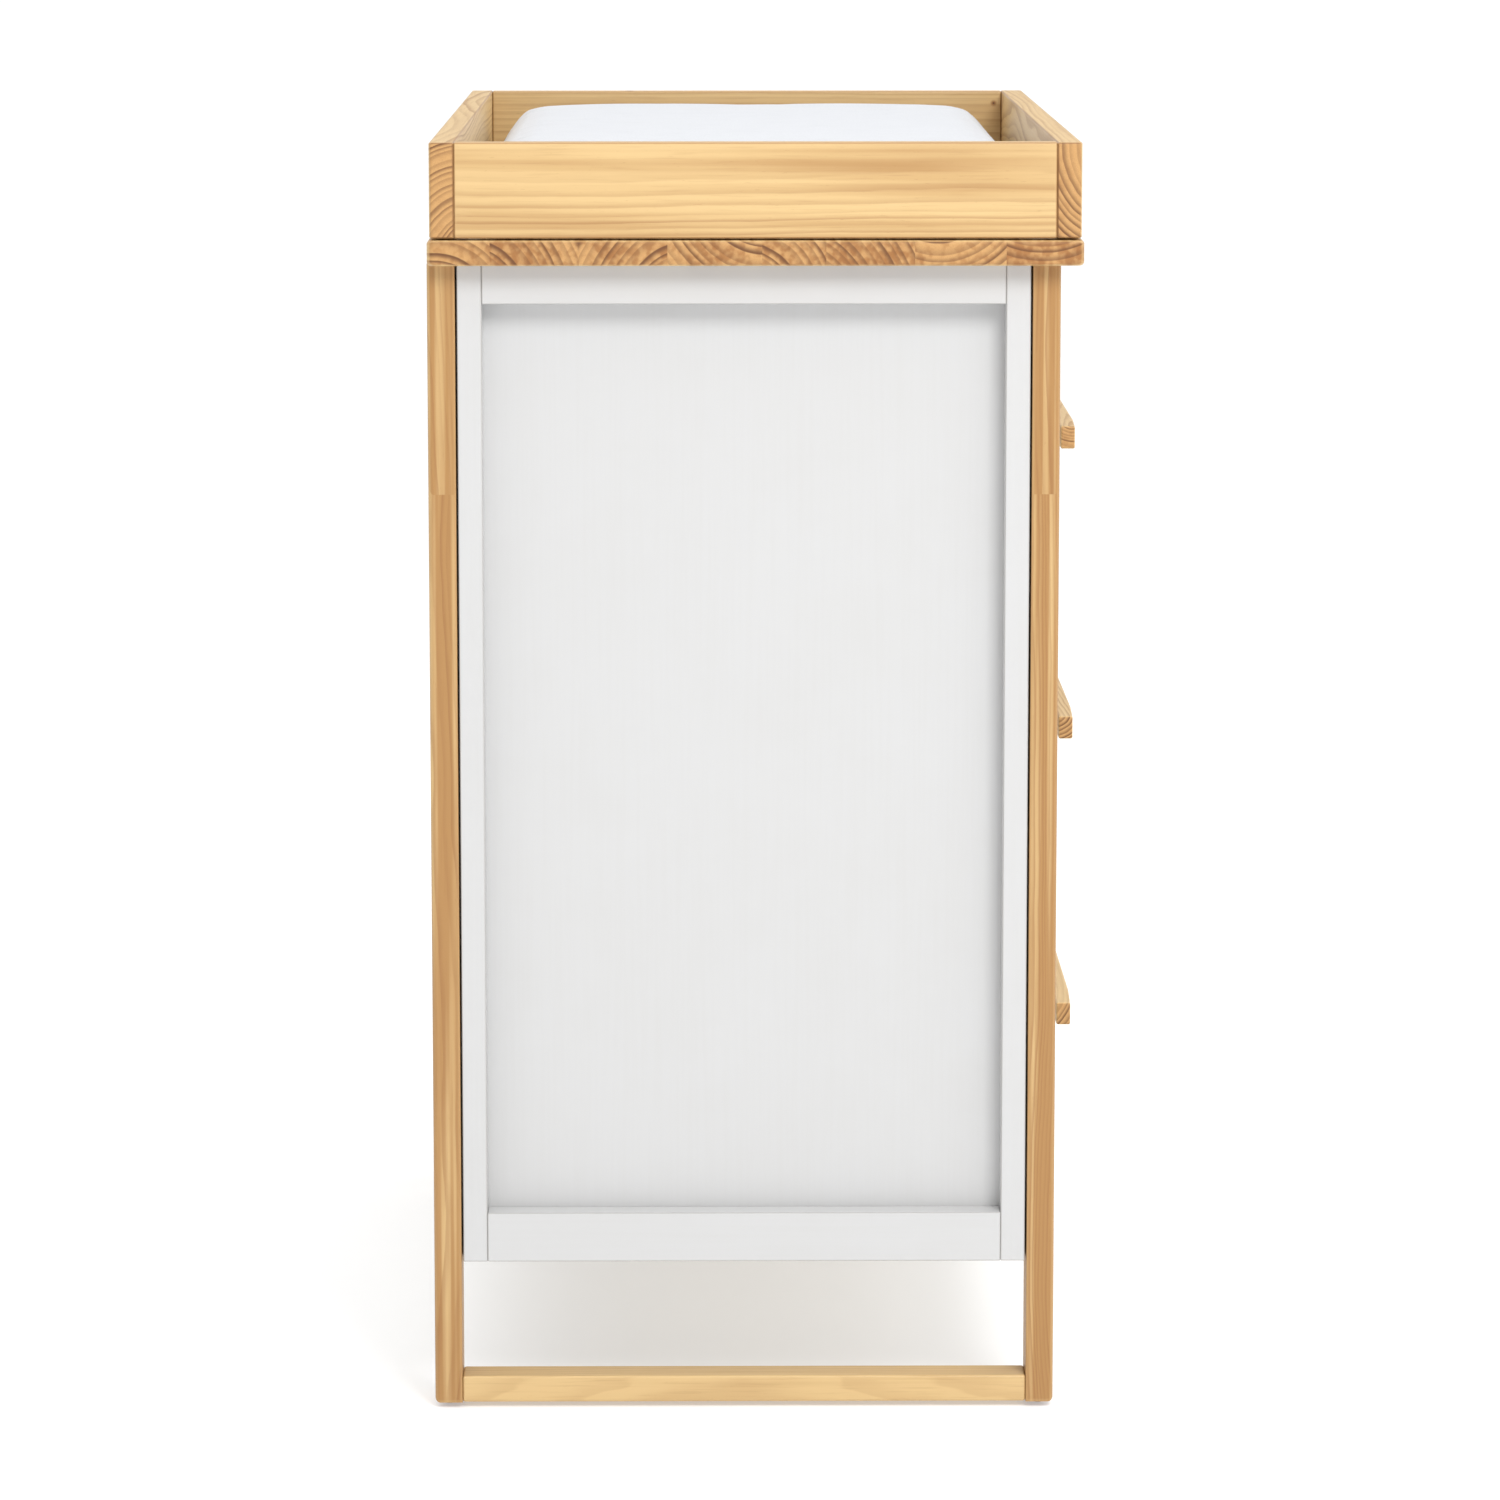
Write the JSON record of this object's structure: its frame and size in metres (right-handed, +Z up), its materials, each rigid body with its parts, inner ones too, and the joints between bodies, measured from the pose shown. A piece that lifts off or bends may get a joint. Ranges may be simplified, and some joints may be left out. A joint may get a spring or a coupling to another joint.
{
  "type": "changing table",
  "caption": "Dresser-style changing table with drawers on ball-bearing slides, a lift-off changing tray and a soft pad, pine frame with white panels.",
  "frame": {"origin": "on the floor, under the middle of the table's outline with the handles included", "axes": "+Z up, -Y the way the drawers open (the front), +X to the right seen from the front"},
  "size_m": [0.88, 0.501, 0.9685],
  "materials": {
    "pine": "clear satin lacquer over natural pine",
    "white_paint": "satin white paint over wood",
    "drawer_board": "plain board, thin clear coat",
    "inner_wood": "planed pine, thin clear coat",
    "back_board": "white-faced hardboard",
    "slide_steel": "zinc-plated steel",
    "screw_steel": "zinc-plated steel",
    "cam_zinc": "cast zinc",
    "glide_plastic": "dark brown, matte",
    "grip_rubber": "black rubber",
    "pad_cover": "white quilt-backed cover, wipe-clean"
  },
  "bodies": {
    "cabinet": {"back_joint_strip": "back_board", "back_panel_left": "back_board", "back_panel_right": "back_board", "cam_locks": "cam_zinc", "drawer_dividers": "inner_wood", "floor_glides": "glide_plastic", "foot_rail_left": "pine", "foot_rail_right": "pine", "front_bottom_rail": "white_paint", "front_top_rail": "white_paint", "post_front_left": "pine", "post_front_right": "pine", "post_rear_left": "pine", "post_rear_right": "pine", "rear_bottom_rail": "inner_wood", "rear_top_rail": "inner_wood", "runner_cleats": "inner_wood", "side_bottom_rail_left": "white_paint", "side_bottom_rail_right": "white_paint", "side_panel_left": "white_paint", "side_panel_right": "white_paint", "side_top_rail_left": "white_paint", "side_top_rail_right": "white_paint", "slide_channels": "slide_steel", "stile_front_left": "white_paint", "stile_front_right": "white_paint", "stile_rear_left": "white_paint", "stile_rear_right": "white_paint", "top_board": "pine"},
    "drawer_lower": {"drawer_back_lower": "drawer_board", "drawer_bottom_lower": "drawer_board", "drawer_front_lower": "white_paint", "drawer_sides_lower": "drawer_board", "handle_lower": "pine", "handle_screws_lower": "screw_steel", "slide_rails_lower": "slide_steel"},
    "cage_lower": {"ball_cages_lower": "slide_steel"},
    "drawer_middle": {"drawer_back_middle": "drawer_board", "drawer_bottom_middle": "drawer_board", "drawer_front_middle": "white_paint", "drawer_sides_middle": "drawer_board", "handle_middle": "pine", "handle_screws_middle": "screw_steel", "slide_rails_middle": "slide_steel"},
    "cage_middle": {"ball_cages_middle": "slide_steel"},
    "drawer_upper": {"drawer_back_upper": "drawer_board", "drawer_bottom_upper": "drawer_board", "drawer_front_upper": "white_paint", "drawer_sides_upper": "drawer_board", "handle_screws_upper": "screw_steel", "handle_upper": "pine", "slide_rails_upper": "slide_steel"},
    "cage_upper": {"ball_cages_upper": "slide_steel"},
    "tray": {"tray_board_front": "pine", "tray_board_rear": "pine", "tray_end_left": "pine", "tray_end_right": "pine", "tray_grips": "grip_rubber"},
    "pad": {"changing_pad": "pad_cover"}
  },
  "joints": [
    {"name": "drawer_slide_lower", "type": "slide", "parent": "cabinet", "child": "drawer_lower", "axis": [0, -1, 0], "range_m": [0, 0.264]},
    {"name": "cage_roll_lower", "type": "slide", "parent": "cabinet", "child": "cage_lower", "axis": [0, -1, 0], "range_m": [0, 0.132]},
    {"name": "drawer_slide_middle", "type": "slide", "parent": "cabinet", "child": "drawer_middle", "axis": [0, -1, 0], "range_m": [0, 0.264]},
    {"name": "cage_roll_middle", "type": "slide", "parent": "cabinet", "child": "cage_middle", "axis": [0, -1, 0], "range_m": [0, 0.132]},
    {"name": "drawer_slide_upper", "type": "slide", "parent": "cabinet", "child": "drawer_upper", "axis": [0, -1, 0], "range_m": [0, 0.264]},
    {"name": "cage_roll_upper", "type": "slide", "parent": "cabinet", "child": "cage_upper", "axis": [0, -1, 0], "range_m": [0, 0.132]},
    {"name": "tray_lift", "type": "slide", "parent": "cabinet", "child": "tray", "axis": [0, 0, 1], "range_m": [0, 0.12]},
    {"name": "pad_lift", "type": "slide", "parent": "cabinet", "child": "pad", "axis": [0, 0, 1], "range_m": [0, 0.15]}
  ],
  "couplings": [
    {"joint": "cage_roll_lower", "follows": "drawer_slide_lower", "ratio": 0.5},
    {"joint": "cage_roll_middle", "follows": "drawer_slide_middle", "ratio": 0.5},
    {"joint": "cage_roll_upper", "follows": "drawer_slide_upper", "ratio": 0.5}
  ]
}
